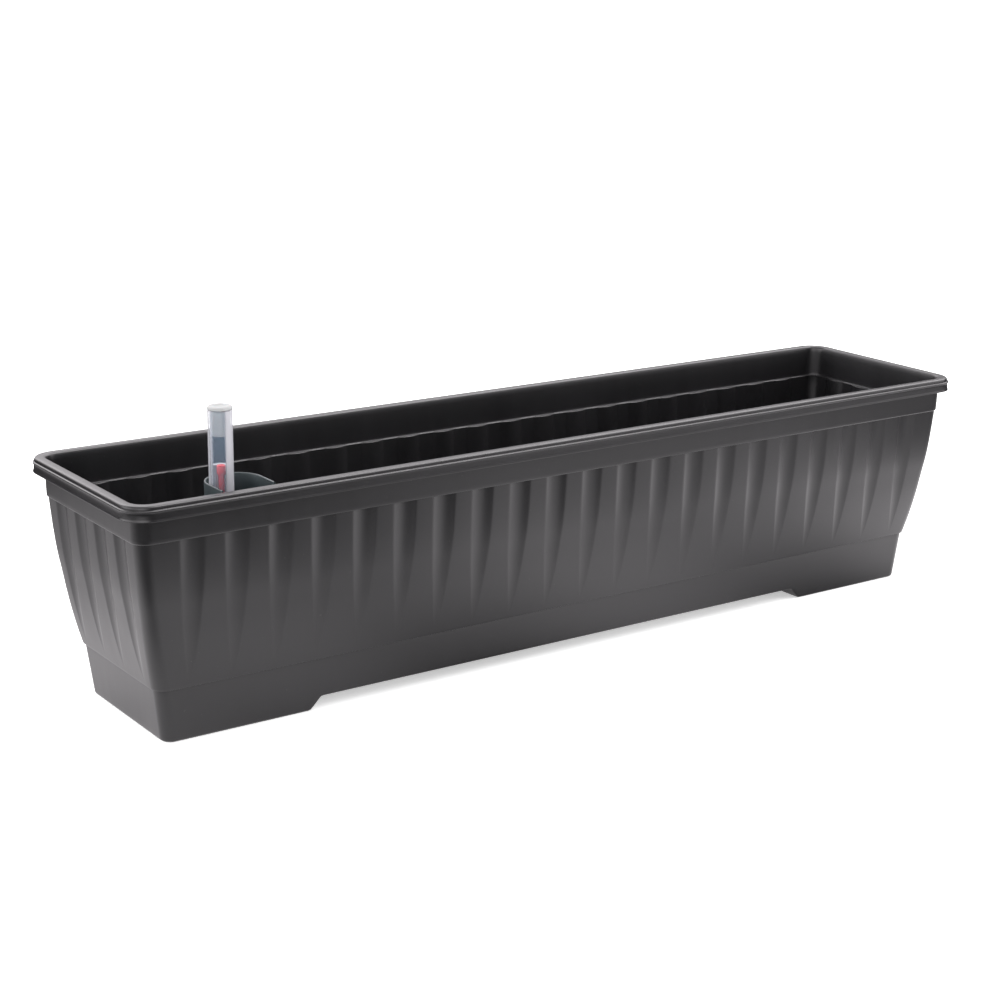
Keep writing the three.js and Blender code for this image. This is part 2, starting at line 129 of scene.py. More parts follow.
def turned(name, profile, x, y, seg=72, angle=32.0):
    """A turned body from [radius, z] in mm; ends on the axis or closes on itself."""
    bm = bmesh.new()
    rings = []
    for r, z in profile:
        if r < 1e-6:
            rings.append([bm.verts.new((x * MM, y * MM, z * MM))])
        else:
            rings.append([bm.verts.new(((x + r * math.cos(2 * math.pi * k / seg)) * MM,
                                        (y + r * math.sin(2 * math.pi * k / seg)) * MM, z * MM))
                          for k in range(seg)])
    closed = profile[0][0] > 1e-6
    n = len(rings)
    for i in range(n if closed else n - 1):
        a, b = rings[i], rings[(i + 1) % n]
        for k in range(seg):
            k2 = (k + 1) % seg
            if len(a) == 1 and len(b) == 1:
                continue
            if len(a) == 1:
                bm.faces.new((a[0], b[k], b[k2]))
            elif len(b) == 1:
                bm.faces.new((a[k], a[k2], b[0]))
            else:
                bm.faces.new((a[k], a[k2], b[k2], b[k]))
    return finish_mesh(bm, name, angle)


def arc(cx, cz, r, a0, a1, n=6):
    """Profile points round a corner, degrees."""
    return [(cx + r * math.cos(math.radians(a0 + (a1 - a0) * i / n)),
             cz + r * math.sin(math.radians(a0 + (a1 - a0) * i / n))) for i in range(n + 1)]


# ------------------------------------------------------------------ trough
U = np.array([-1.22, -1.1, -1.0, -0.9, -0.76, -0.56, -0.3, 0, 0.3, 0.56, 0.76, 0.9, 1.0, 1.1, 1.22])
Q = 1 - U**2
SCOOP = 0.5 * (Q + np.sqrt(Q**2 + 0.14**2)) - 0.0049
SCOOP[[0, -1]] = 0.0


def long_samples(half, spread):
    """Positions along a long wall and each one's share of the flute depth."""
    s, g = [], []
    for k in range(N_LONG):
        c = (k - (N_LONG - 1) / 2) * PITCH
        if spread:
            s += list(c + np.linspace(-0.469, 0.469, len(U)) * PITCH)
        else:
            s += list(c + U * half)
        g += list(SCOOP)
        if k < N_LONG - 1:
            s.append(c + PITCH / 2)
            g.append(0.0)
    s = np.array(s)
    if spread:
        for t in (-ARCH_LOW, -ARCH_HIGH, ARCH_HIGH, ARCH_LOW):
            s[np.argmin(np.abs(s - t))] = t
    return s, np.array(g)


def end_samples(half, spread):
    s, g = [], []
    for k, c in enumerate(END_FLUTES):
        p = 33.2
        s += list(c + (np.linspace(-0.46, 0.46, len(U)) * p if spread else U * half))
        g += list(SCOOP)
        if k < len(END_FLUTES) - 1:
            s.append((c + END_FLUTES[k + 1]) / 2)
            g.append(0.0)
    return np.array(s), np.array(g)


NC = 11


def ramp_z(x, low, high, x_low, x_high, soft=1.3):
    """Height that runs from low outside x_low up to high inside x_high, with soft corners."""
    t = (x_low - np.abs(x)) / (x_low - x_high)
    w = soft / abs(x_low - x_high)
    up = lambda q: 0.5 * (q + np.sqrt(q * q + (0.5 * w)**2))
    v = up(t) - up(t - 1)
    return low + (high - low) * np.clip(v, 0, 1)


def ring(off_end, off_side, r, z, depth=0.0, half=FL_W / 2, spread=True, floor=None, top=STEP_Z,
         zfun=None, share_r=None):
    """One closed outline. floor(x) lifts the lower part of the long walls; off_side may be a function of z."""
    ls, lg = long_samples(half, spread)
    es, eg = end_samples(half, spread)
    zz = lambda x: np.full_like(x, z) if floor is None else floor(x) + (z - floor(np.array([1e4]))[0]) * (
        (top - floor(x)) / (top - floor(np.array([1e4]))[0]))
    oe = off_end if callable(off_end) else (lambda q: np.full_like(q, off_end))
    os_ = off_side if callable(off_side) else (lambda q: np.full_like(q, off_side))
    pts = []
    z0 = np.array([float(z)])
    a = HALF_L - float(oe(z0)[0])
    b0 = HALF_W - float(os_(z0)[0])
    zl = zz(ls)
    bl = HALF_W - os_(zl)
    lim = a - r - 0.4
    lsx = np.clip(ls, -lim, lim)
    e_lim = b0 - r - 0.4
    esy = np.clip(es, -e_lim, e_lim)
    for x, yy, zq, g in zip(lsx, bl, zl, lg):
        pts.append((x, -yy + g * depth, zq))
    def corner(cx, cy, t0):
        for i in range(NC):
            w = math.radians(t0 + 90 * i / (NC - 1))
            pts.append((cx + r * math.cos(w), cy + r * math.sin(w), z))
    corner(a - r, -b0 + r, -90)
    for y, g in zip(esy, eg):
        pts.append((a - g * depth, y, z))
    corner(a - r, b0 - r, 0)
    for x, yy, zq, g in zip(lsx[::-1], bl[::-1], zl[::-1], lg[::-1]):
        pts.append((x, yy - g * depth, zq))
    corner(-a + r, b0 - r, 90)
    for y, g in zip(esy[::-1], eg[::-1]):
        pts.append((-a + g * depth, y, z))
    corner(-a + r, -b0 + r, 180)
    return np.array(pts)


def collapsed(like, zf):
    """The outline squeezed onto the middle line, to close a floor."""
    out = like.copy()
    lim = np.abs(like[:, 0]).max() - 30
    out[:, 0] = np.clip(out[:, 0], -lim, lim)
    out[:, 1] = 0
    out[:, 2] = zf(out[:, 0])
    return out


def build_trough():
    under = lambda x: ramp_z(x, 0.0, ARCH_Z, ARCH_LOW, ARCH_HIGH)
    inside = lambda x: ramp_z(x, FLOOR, MID_FLOOR, ARCH_LOW + 2.4, ARCH_HIGH + 2.4)
    pe = lambda extra: (lambda z: PLINTH_END + extra + (body_end(STEP_Z) + STEP_IN - PLINTH_END) * np.clip(z / STEP_Z, 0, 1))
    ps = lambda extra: (lambda z: PLINTH_SIDE + extra + (body_side(STEP_Z) + STEP_IN - PLINTH_SIDE) * np.clip(z / STEP_Z, 0, 1))
    rings = []
    low = [(4.5, 0.0), (2.4, 0.02), (1.3, 0.22), (0.55, 0.75), (0.12, 1.5), (0, 2.4)]
    for e, z in low:
        rings.append(ring(pe(e), ps(e), PLINTH_R - min(e, 3), z, floor=under))
    for z in (6, 11, 17, 24, 31, 37, 40.4):
        rings.append(ring(pe(0), ps(0), PLINTH_R, z, floor=under))
    rings.append(ring(pe(0.1), ps(0.1), PLINTH_R, 41.3, floor=under))
    # shadow step, then the fluted body
    def half_at(z):
        t = (BAND_BOTTOM - z) / (BAND_BOTTOM - TIP_Z)
        return float(smooth_table(TAPER, np.array([np.clip(t, 0, 1)]))[0])
    def body(z, shell=0.0, grow=0.0, extra=0.0, r=None, zput=None):
        q = half_at(z)
        live = 0.0 if z <= TIP_Z else FL_D * max(q * q - 0.01, 0) / 0.99
        return ring(float(body_end(np.array([z]))[0]) + shell + extra, float(body_side(np.array([z]))[0]) + shell + extra,
                    (BODY_R - shell if r is None else r), z if zput is None else zput,
                    depth=live, half=(FL_W * q + grow * min(1, 3 * q)) / 2, spread=False)
    rings.append(body(STEP_Z, extra=0.55, zput=STEP_Z - 0.1))
    rings.append(body(STEP_Z, extra=0.1, zput=STEP_Z + 0.12))
    rings.append(body(42.3))
    for z in np.concatenate([np.linspace(44, 62, 9), np.linspace(66, 150, 18), [154, BAND_BOTTOM - 0.25]]):
        rings.append(body(float(z)))
    rings.append(body(BAND_BOTTOM, extra=0.0, zput=BAND_BOTTOM - 0.02))
    # band: rounded lower edge, straight face, rim hollow, lip
    def flat(off, z, r):
        return ring(off, off, r, z, spread=True)
    for off, z in ((9.75, 156.3), (9.2, 156.42), (8.9, 156.75), (8.78, 157.4), (8.74, 160), (8.62, 166), (8.5, 172), (8.46, 183.4)):
        rings.append(flat(off, z, BAND_R))
    for off, z in ((8.1, 183.75), (2.9, 183.75), (2.5, 183.4), (2.3, 176), (2.2, 175.2), (1.95, 175.03), (0.55, 175.03),
                   (0.15, 175.12), (0.0, 175.4), (0.03, 175.8), (0.3, 176.3), (0.45, 177.2), (0.62, 179.5), (0.75, 181.0),
                   (0.66, 181.35), (0.3, 181.6), (0.06, 181.95), (0.0, 182.35), (0.1, 182.75), (0.42, 183.02),
                   (0.85, 183.12), (1.12, 183.4), (1.2, 184.2), (1.3, 184.9), (1.6, 185.55), (2.1, 185.98), (2.8, 186.2),
                   (4.5, 186.24), (6.8, 186.24), (7.9, 186.18), (8.6, 185.95), (9.1, 185.5), (9.5, 184.8), (9.8, 183.6)):
        rings.append(flat(off, z, LIP_R - 0.8 * off if off < 9 else LIP_R - 0.8 * 9 + (9 - off)))
    for off, z in ((10.1, 181), (10.5, 172), (10.9, 162), (11.0, 160.2), (11.15, 159.5), (11.5, 159.1)):
        rings.append(flat(off, z, BAND_R - 0.5))
    # ledge, scalloped by the backs of the flutes, then the inside of the body
    rings.append(body(BAND_BOTTOM, shell=WALL - 0.35, grow=2.4, r=9, zput=159.0))
    rings.append(body(BAND_BOTTOM, shell=WALL - 0.08, grow=2.4, r=9, zput=158.75))
    for z in np.concatenate([[157.5], np.linspace(150, 60, 16), [54, 49, 46]]):
        rings.append(body(float(min(z, BAND_BOTTOM)), shell=WALL, grow=2.4, r=8.3, zput=float(z)))
    for e, z in ((WALL - 0.5, 44.6), (WALL, 41.5), (WALL, 30), (WALL + 0.1, 18), (WALL + 0.3, 8), (WALL + 1.2, 4.2), (WALL + 2.6, 2.8), (WALL + 4.5, 2.5)):
        rings.append(ring(pe(e), ps(e), max(PLINTH_R - e, 3), z, floor=inside, top=STEP_Z + 4))
    first = collapsed(rings[0], under)
    last = collapsed(rings[-1], inside)
    rings = [first] + rings + [last]
    n = len(rings[0])
    bm = bmesh.new()
    rows = [[bm.verts.new(tuple(p * MM)) for p in r] for r in rings]
    for a, b in zip(rows, rows[1:]):
        for j in range(n):
            k = (j + 1) % n
            bm.faces.new((a[j], a[k], b[k], b[j]))
    bmesh.ops.remove_doubles(bm, verts=bm.verts, dist=2e-6)
    bmesh.ops.dissolve_degenerate(bm, dist=1e-6, edges=bm.edges)
    return finish_mesh(bm, "trough_moulding", 38.0)


def drain_holes(ob):
    """Bore the two drain holes through the raised middle of the floor."""
    for x in PLUG_X:
        bm = bmesh.new()
        bmesh.ops.create_cone(bm, cap_ends=True, segments=64, radius1=HOLE_R * MM, radius2=HOLE_R * MM, depth=0.012)
        bmesh.ops.translate(bm, verts=bm.verts, vec=(x * MM, 0, 0.0112))
        cutter = finish_mesh(bm, "drain_cutter", 40)
        mod = ob.modifiers.new("drain", "BOOLEAN")
        mod.operation = "DIFFERENCE"
        mod.solver = "EXACT"
        mod.object = cutter
        scene.view_layers[0].update()
        me = bpy.data.meshes.new_from_object(ob.evaluated_get(bpy.context.evaluated_depsgraph_get()))
        ob.modifiers.clear()
        ob.data = me
        bpy.data.objects.remove(cutter)
    bm = bmesh.new()
    bm.from_mesh(ob.data)
    for e in bm.edges:
        if all(math.hypot(v.co.x - math.copysign(150 * MM, v.co.x), v.co.y) < (HOLE_R + 0.2) * MM for v in e.verts):
            e.smooth = len(e.link_faces) == 2 and e.calc_face_angle(0.0) < 0.5
    bm.to_mesh(ob.data)
    bm.free()


trough = build_trough()
drain_holes(trough)
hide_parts("trough")
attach(trough, "trough")


# ------------------------------------------------------------------ filler channel
def build_channel():
    R, T = 22.0, 1.5
    z0, z1 = 52.5, 183.0
    yl, yr = -64.6, -62.6
    bm = bmesh.new()

    def outline(r, yl_, yr_, n=48):
        pts = [(CX + r, yr_ + (CY - yr_) * i / 6) for i in range(6)]
        pts += [(CX + r * math.cos(math.pi * i / n), CY + r * math.sin(math.pi * i / n)) for i in range(n + 1)]
        pts += [(CX - r, CY + (yl_ - CY) * (i + 1) / 6) for i in range(6)]
        return pts
    # wall section: a closed rounded strip swept along the outline; top edge is rounded
    sec = []          # (offset from the middle of the wall, z)
    h = T / 2
    sec += [(-h, z0), (h, z0)]
    sec += [(h, z) for z in (60, 90, 120, 150, 175, z1 - 0.75)]
    sec += [(h * math.cos(a), z1 - 0.75 + h * math.sin(a)) for a in (math.pi / 6, math.pi / 3, math.pi / 2, 2 * math.pi / 3, 5 * math.pi / 6)]
    sec += [(-h, z) for z in (z1 - 0.75, 175, 150, 120, 90, 60)]
    mid = R - h
    rows = []
    base = outline(mid, yl, yr)
    m = len(base)
    for i, (x, y) in enumerate(base):
        if y >= CY - 1e-6 and 6 <= i <= m - 7:
            a = math.atan2(y - CY, x - CX)
            nx, ny = math.cos(a), math.sin(a)
        else:
            nx, ny = (1, 0) if x > CX else (-1, 0)
        end = 0.0
        row = []
        for o, z in sec:
            # the free front edges have a rounded upper corner
            yy = y
            if y < CY:
                edge0 = yr if x > CX else yl
                edge = edge0 - LEG_LEAN * (z - z0) / (z1 - z0)
                yy = CY + (y - CY) * (edge - CY) / (edge0 - CY)
                top_r = 1.2
                if z > z1 - top_r:
                    q = (z - (z1 - top_r)) / top_r
                    pull = top_r * (1 - math.sqrt(max(0, 1 - min(q, 1)**2)))
                    yy = max(yy, edge + pull)
            row.append(bm.verts.new(((x + nx * o) * MM, (yy + ny * o) * MM, z * MM)))
        rows.append(row)
    ns = len(sec)
    for a, b in zip(rows, rows[1:]):
        for j in range(ns):
            k = (j + 1) % ns
            bm.faces.new((a[j], b[j], b[k], a[k]))
    for row in (rows[0], rows[-1]):
        bm.faces.new(row if row is rows[0] else list(reversed(row)))
    bmesh.ops.remove_doubles(bm, verts=bm.verts, dist=2e-6)
    # base flange
    def flange(r_in, r_out, za, zb, y_end):
        loops = []
        for z, r, in ((za, r_out), (zb - 0.4, r_out), (zb, r_out - 0.4), (zb, r_in), (za, r_in)):
            pts = [(CX + r, y_end)] + [(CX + r * math.cos(math.pi * i / 40), CY + r * math.sin(math.pi * i / 40)) for i in range(41)] + [(CX - r, y_end)]
            loops.append([bm.verts.new((x * MM, y * MM, z * MM)) for x, y in pts])
        for i in range(5):
            a, b = loops[i], loops[(i + 1) % 5]
            for j in range(len(a) - 1):
                bm.faces.new((a[j], a[j + 1], b[j + 1], b[j]))
        bm.faces.new([l[0] for l in loops])
        bm.faces.new([l[-1] for l in reversed(loops)])
    flange(R - 0.02, R + 5, z0, z0 + 1.8, -58.5)
    for px in (CX - 24.2, CX + 24.2):
        lower = []
        for r, z in ((0.9, 47.4), (1.55, 48.2), (1.55, z0 + 0.3)):
            lower.append([bm.verts.new(((px + r * math.cos(2 * math.pi * k / 20)) * MM, (-46 + r * math.sin(2 * math.pi * k / 20)) * MM, z * MM)) for k in range(20)])
        for a, b in zip(lower, lower[1:]):
            for k in range(20):
                bm.faces.new((a[k], a[(k + 1) % 20], b[(k + 1) % 20], b[k]))
        bm.faces.new(list(reversed(lower[0])))
        bm.faces.new(lower[-1])
    return finish_mesh(bm, "filler_gutter", 40)


channel = build_channel()
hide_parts("filler_channel")
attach(channel, "channel")

# ------------------------------------------------------------------ gauge
tube = turned("gauge_barrel", [(7.3, 5.6), (8.7, 5.6), (9, 5.9), (9, 60), (9, 120), (9, 180), (9, 236.0), (8.8, 236.3), (8.5, 236.4), (7.5, 236.4), (7.3, 236.2),
                               (7.3, 180), (7.3, 120), (7.3, 60)], GX, GY, 96)
cap = turned("gauge_lid", [(0, 238.15), (0.9, 238.12), (1.4, 238.3), (3.6, 238.35), (4.6, 238.5), (5.4, 238.95), (6.2, 239.16), (7.4, 239.2), (8.3, 239.08),
                           (8.85, 238.7), (9.08, 238.1), (9.1, 237.3), (9.0, 236.9), (8.6, 236.72), (7.1, 236.7), (6.95, 236.4), (6.9, 228), (6.8, 218.2),
                           (6.6, 217.75), (6.2, 217.6), (5.6, 217.6), (5.4, 217.8), (5.35, 228), (5.3, 234.8), (4.9, 235.2), (0, 235.2)], GX, GY, 96)
sleeve = turned("gauge_guide", [(3.9, 80.2), (4.2, 80), (6.6, 80), (6.95, 80.4), (6.95, 120), (6.95, 160), (6.95, 195.1), (6.8, 195.5), (6.5, 195.6),
                                (4.3, 195.6), (4.0, 195.4), (3.9, 195.0), (3.9, 160), (3.9, 120)], GX, GY, 72)
foot = turned("gauge_shoe", [(2.6, 2.8), (8.3, 2.8), (8.85, 3.1), (9, 3.6), (9, 5.0), (8.8, 5.3), (6.95, 5.3), (6.9, 12), (6.8, 21.2), (6.5, 21.65), (5.2, 21.7), (5.0, 21.5),
                             (5.0, 5.9), (4.7, 5.6), (2.9, 5.6), (2.6, 5.3)], GX, GY, 72)
pin = turned("indicator_head", [(0, 41.6), (1.6, 41.6), (2.2, 42.2), (2.2, 90), (2.2, 140), (2.2, 187.2), (2.35, 188.2), (3.0, 189.2), (3.25, 189.9), (3.3, 190.6), (3.3, 194.2),
                                (3.15, 195.0), (2.7, 195.6), (1.8, 195.95), (0.8, 196.08), (0, 196.1)], GX, GY, 48)
bob = turned("gauge_bob", [(0, 22), (5.2, 22), (6.2, 22.4), (6.65, 23.2), (6.7, 24.2), (6.7, 40), (6.7, 54.4), (6.5, 55.6), (5.8, 56.3), (5.2, 56.5), (2.8, 56.5), (2.55, 56.2),
                           (2.55, 41.2), (0, 41.2)], GX, GY, 64)
for ob, node, body, slot in ((tube, "gauge_tube", "gauge", "gauge_clear"), (cap, "gauge_cap", "cap", "cap_white"),
                             (sleeve, "gauge_sleeve", "gauge", "gauge_frosted"), (foot, "gauge_foot", "gauge", "cap_white"),
                             (pin, "indicator_pin", "float", "signal_red"), (bob, "gauge_float", "float", "float_foam")):
    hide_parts(node)
    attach(ob, body)

# ------------------------------------------------------------------ drain plugs and seals
for side, x in (("left", -150.0), ("right", 150.0)):
    p = turned("plug_body_" + side, [(0, 8.8), (4.9, 8.8), (5.5, 9.1), (6.05, 10.0), (6.05, 14.2), (6.2, 14.5), (9.9, 14.55), (10.7, 14.8), (11, 15.4), (11, 16.2), (10.7, 16.8),
                                     (10.1, 17.15), (9.2, 17.2), (8.4, 17.0), (5.0, 17.0), (0, 17.05)], x, 0, 72)
    bm = bmesh.new()
    # grip: a rounded tab with a finger hole
    outer, inner = [], []
    n = 48
    for i in range(n):
        a = 2 * math.pi * i / n
        ex = abs(math.cos(a))**0.7 * (1 if math.cos(a) > 0 else -1)
        ez = abs(math.sin(a))**0.7 * (1 if math.sin(a) > 0 else -1)
        outer.append((6.0 * ex, 21.4 + 5.0 * ez))
        inner.append((2.7 * math.cos(a), 22.0 + 2.6 * math.sin(a)))
    loops = []
    for t, sc in ((-1.5, 0.93), (-1.1, 1.0), (1.1, 1.0), (1.5, 0.93)):
        loops.append([bm.verts.new(((x + t) * MM, (y * sc) * MM, (21.4 + (z - 21.4) * sc) * MM)) for y, z in outer])
    for t, sc in ((1.5, 1.12), (1.1, 1.0), (-1.1, 1.0), (-1.5, 1.12)):
        loops.append([bm.verts.new(((x + t) * MM, (y * sc) * MM, (22.0 + (z - 22.0) * sc) * MM)) for y, z in inner])
    for i in range(len(loops)):
        a, b = loops[i], loops[(i + 1) % len(loops)]
        for k in range(n):
            bm.faces.new((a[k], a[(k + 1) % n], b[(k + 1) % n], b[k]))
    g = finish_mesh(bm, "plug_grip_" + side, 40)
    s = turned("plug_washer_" + side, [(6.4, 12.9), (6.7, 12.7), (9.4, 12.7), (9.85, 12.95), (10, 13.5), (9.85, 14.05), (9.4, 14.3), (6.7, 14.3), (6.4, 14.1)], x, 0, 72)
    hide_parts("drain_plug_" + side)
    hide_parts("plug_seal_" + side)
    for ob in (p, g, s):
        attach(ob, "plug_" + side)


# ------------------------------------------------------------------ wicks: strips of needled felt
def felt_strip(name, x0, towards, seed):
    r = np.random.default_rng(seed)
    top = 52.5
    W, T = 24.0, 2.6
    path = []
    z_low = 13.4
    for z in np.linspace(z_low, top - 3.2, 22):
        path.append((x0, z))
    # over the slot's edge and out along the false floor
    rad = 3.0
    for i in range(1, 9):
        a = math.pi - math.pi / 2 * i / 9 if towards > 0 else math.pi / 2 * i / 9
        cx = x0 + rad * (1 if towards > 0 else -1)
        path.append((cx + rad * math.cos(a), top - 3.2 + 1.7 + rad * math.sin(a)))
    for i in range(1, 16):
        path.append((path[29][0] + towards * 1.9 * i, top + T / 2))
    path = np.array(path)
    path[30:, 1] += 0.25 * np.sin(np.linspace(0, 5, len(path) - 30)) * np.linspace(0, 1, len(path) - 30) + 0.25
    path[:20, 0] += 0.35 * np.sin(np.linspace(3, 0, 20) * 1.7 + seed)
    path[-1, 0] = min(max(path[-1, 0], x0 - 33.4), x0 + 33.4)
    tang = np.gradient(path, axis=0)
    tang /= np.linalg.norm(tang, axis=1)[:, None]
    nrm = np.stack([-tang[:, 1], tang[:, 0]], 1)
    ny = 17
    bm = bmesh.new()
    grid = {}
    for side_, sgn in (("a", 1), ("b", -1)):
        for i in range(len(path)):
            edge_fray = r.normal(0, 0.12)
            for j in range(ny):
                w = (j / (ny - 1) * 2 - 1)
                y = w * (W / 2 - 0.25) + (edge_fray if abs(w) > 0.99 else 0)
                thick = T / 2 * (1 - 0.25 * abs(w)**6) + r.normal(0, 0.05)
                px = path[i, 0] + nrm[i, 0] * thick * sgn
                pz = path[i, 1] + nrm[i, 1] * thick * sgn
                grid[side_, i, j] = bm.verts.new((px * MM, y * MM, pz * MM))
    L = len(path)
    for i in range(L - 1):
        for j in range(ny - 1):
            bm.faces.new((grid["a", i, j], grid["a", i + 1, j], grid["a", i + 1, j + 1], grid["a", i, j + 1]))
            bm.faces.new((grid["b", i, j], grid["b", i, j + 1], grid["b", i + 1, j + 1], grid["b", i + 1, j]))
        for j in (0, ny - 1):
            bm.faces.new((grid["a", i, j], grid["b", i, j], grid["b", i + 1, j], grid["a", i + 1, j]))
    for i in (0, L - 1):
        for j in range(ny - 1):
            bm.faces.new((grid["a", i, j], grid["a", i, j + 1], grid["b", i, j + 1], grid["b", i, j]))
    length = float(np.sum(np.linalg.norm(np.diff(path, axis=0), axis=1)))
    return finish_mesh(bm, name, 60), length


wick_len = {}
for node, x0, tw, body in (("wick_left_outer", -206, -1, "floor_left"), ("wick_left_inner", -88, 1, "floor_left"),
                           ("wick_right_inner", 88, -1, "floor_right"), ("wick_right_outer", 206, 1, "floor_right")):
    w, ln = felt_strip(node.replace("wick", "felt_strip"), x0, tw, abs(x0))
    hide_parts(node)
    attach(w, body)
    wick_len[node] = (w, ln)


# ------------------------------------------------------------------ materials
def new_mat(name):
    m = bpy.data.materials.new(name)
    m.use_nodes = True
    nt = m.node_tree
    return m, nt, nt.nodes["Principled BSDF"]


def node(nt, kind, **inputs):
    n = nt.nodes.new(kind)
    for k, v in inputs.items():
        if k in n.inputs:
            n.inputs[k].default_value = v
    return n


def coords(nt, scale=(1, 1, 1)):
    tc = nt.nodes.new("ShaderNodeTexCoord")
    mp = nt.nodes.new("ShaderNodeMapping")
    mp.inputs["Scale"].default_value = scale
    nt.links.new(tc.outputs["Object"], mp.inputs["Vector"])
    return mp.outputs["Vector"]


def noise(nt, vec, scale, detail=4.0, rough=0.55):
    n = nt.nodes.new("ShaderNodeTexNoise")
    n.inputs["Scale"].default_value = scale
    n.inputs["Detail"].default_value = detail
    n.inputs["Roughness"].default_value = rough
    nt.links.new(vec, n.inputs["Vector"])
    return n.outputs["Fac"]


def ramp(nt, fac, stops):
    r = nt.nodes.new("ShaderNodeValToRGB")
    r.color_ramp.elements[0].position = stops[0][0]
    r.color_ramp.elements[0].color = stops[0][1]
    r.color_ramp.elements[1].position = stops[-1][0]
    r.color_ramp.elements[1].color = stops[-1][1]
    for p, c in stops[1:-1]:
        e = r.color_ramp.elements.new(p)
        e.color = c
    nt.links.new(fac, r.inputs["Fac"])
    return r.outputs["Color"]


def span(nt, fac, a, b, c, d):
    m = nt.nodes.new("ShaderNodeMapRange")
    m.inputs["From Min"].default_value = a
    m.inputs["From Max"].default_value = b
    m.inputs["To Min"].default_value = c
    m.inputs["To Max"].default_value = d
    nt.links.new(fac, m.inputs["Value"])
    return m.outputs["Result"]


def math_(nt, op, a, b):
    m = nt.nodes.new("ShaderNodeMath")
    m.operation = op
    for i, v in enumerate((a, b)):
        if isinstance(v, (int, float)):
            m.inputs[i].default_value = v
        else:
            nt.links.new(v, m.inputs[i])
    return m.outputs[0]


def mix_col(nt, fac, a, b):
    m = nt.nodes.new("ShaderNodeMix")
    m.data_type = "RGBA"
    m.inputs[6].default_value = a if isinstance(a, tuple) else (0, 0, 0, 1)
    if not isinstance(a, tuple):
        nt.links.new(a, m.inputs[6])
    if isinstance(b, tuple):
        m.inputs[7].default_value = b
    else:
        nt.links.new(b, m.inputs[7])
    if isinstance(fac, (int, float)):
        m.inputs[0].default_value = fac
    else:
        nt.links.new(fac, m.inputs[0])
    return m.outputs[2]


def bump(nt, height, strength, dist, normal=None):
    b = nt.nodes.new("ShaderNodeBump")
    b.inputs["Strength"].default_value = strength
    b.inputs["Distance"].default_value = dist
    nt.links.new(height, b.inputs["Height"])
    if normal is not None:
        nt.links.new(normal, b.inputs["Normal"])
    return b.outputs["Normal"]


def moulded_plastic(name, dark, light, rough=(0.30, 0.40), streak=(60, 60, 6), grain=1700.0, grain_bump=0.05,
                    wave_bump=0.25, speck=True, spec=0.5):
    m, nt, p = new_mat(name)
    v = coords(nt)
    broad = noise(nt, v, 9.0, 3.0)
    flow = noise(nt, coords(nt, streak), 1.0, 4.0, 0.6)
    fine = noise(nt, v, grain, 2.0, 0.5)
    mottled = math_(nt, "ADD", math_(nt, "MULTIPLY", broad, 0.55), math_(nt, "MULTIPLY", flow, 0.45))
    base = ramp(nt, mottled, [(0.3, dark), (0.7, light)])
    # sharp edges painted paler: partly rubbed wear, partly a painted highlight along the edges
    geo = nt.nodes.new("ShaderNodeNewGeometry")
    edge = span(nt, geo.outputs["Pointiness"], 0.53, 0.60, 0.0, 0.32)
    worn_and_highlight = tuple(min(1.0, c * 2.6 + 0.02) for c in light[:3]) + (1,)
    base = mix_col(nt, edge, base, worn_and_highlight)
    if speck:
        dust = noise(nt, v, 620.0, 2.0, 0.4)
        base = mix_col(nt, span(nt, dust, 0.755, 0.80, 0.0, 0.12), base, (0.22, 0.22, 0.215, 1))
    nt.links.new(base, p.inputs["Base Color"])
    nt.links.new(span(nt, mottled, 0.3, 0.7, rough[0], rough[1]), p.inputs["Roughness"])
    wave = noise(nt, coords(nt, (14, 14, 5)), 1.0, 2.0, 0.4)
    n1 = bump(nt, wave, wave_bump, 0.0012)
    n2 = bump(nt, fine, grain_bump, 0.00025, n1)
    nt.links.new(n2, p.inputs["Normal"])
    p.inputs["Specular IOR Level"].default_value = spec
    return m


M_trough = moulded_plastic("anthracite_polypropylene", (0.0050, 0.0048, 0.0054, 1), (0.0080, 0.0078, 0.0088, 1))
M_insert = moulded_plastic("black_insert_plastic", (0.006, 0.006, 0.0065, 1), (0.010, 0.010, 0.0105, 1), rough=(0.45, 0.6), streak=(8, 60, 60))
M_channel = moulded_plastic("grey_green_plastic", (0.026, 0.034, 0.037, 1), (0.040, 0.052, 0.056, 1), rough=(0.36, 0.5), streak=(90, 90, 8), speck=False)


